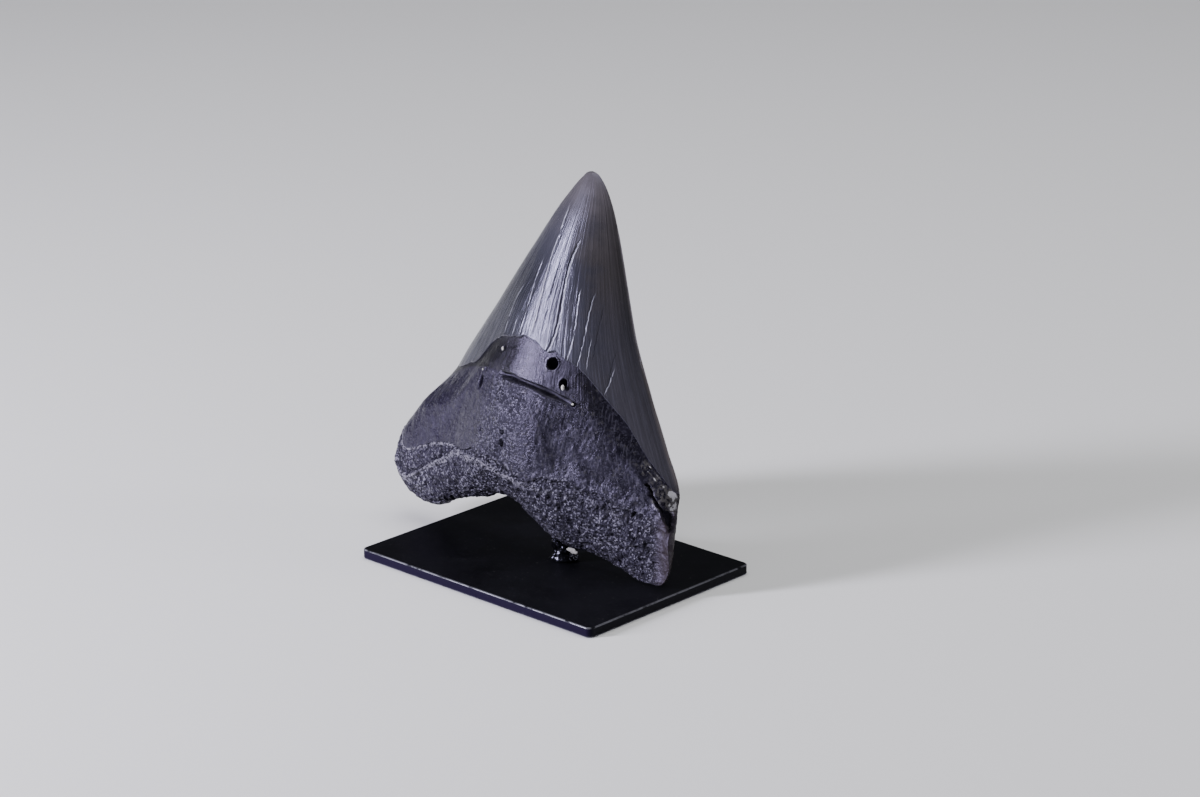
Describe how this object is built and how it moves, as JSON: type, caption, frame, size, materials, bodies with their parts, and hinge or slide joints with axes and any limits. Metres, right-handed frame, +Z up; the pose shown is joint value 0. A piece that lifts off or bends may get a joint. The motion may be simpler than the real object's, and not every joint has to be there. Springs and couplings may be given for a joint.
{
  "type": "fossil shark tooth on a display plate",
  "caption": "Large dark fossil shark tooth standing tip up on a short post and adhesive mound over a blackened rectangular display plate.",
  "frame": {"origin": "centre of the display plate's flat underside", "axes": "+Z up towards the tooth's tip; +X along the plate's long side, towards the tooth's narrower root lobe; -Y towards the side that the convex lingual face looks to"},
  "size_m": [0.1269, 0.0754, 0.1263],
  "materials": {
    "tooth": "satin enamel, dull dark root",
    "plate": "satin blackened",
    "post": "blackened",
    "adhesive": "glossy, dark and cloudy"
  },
  "bodies": {
    "root": {"tooth": "tooth", "base_plate": "plate", "support_post": "post", "adhesive_mound": "adhesive"}
  },
  "joints": []
}
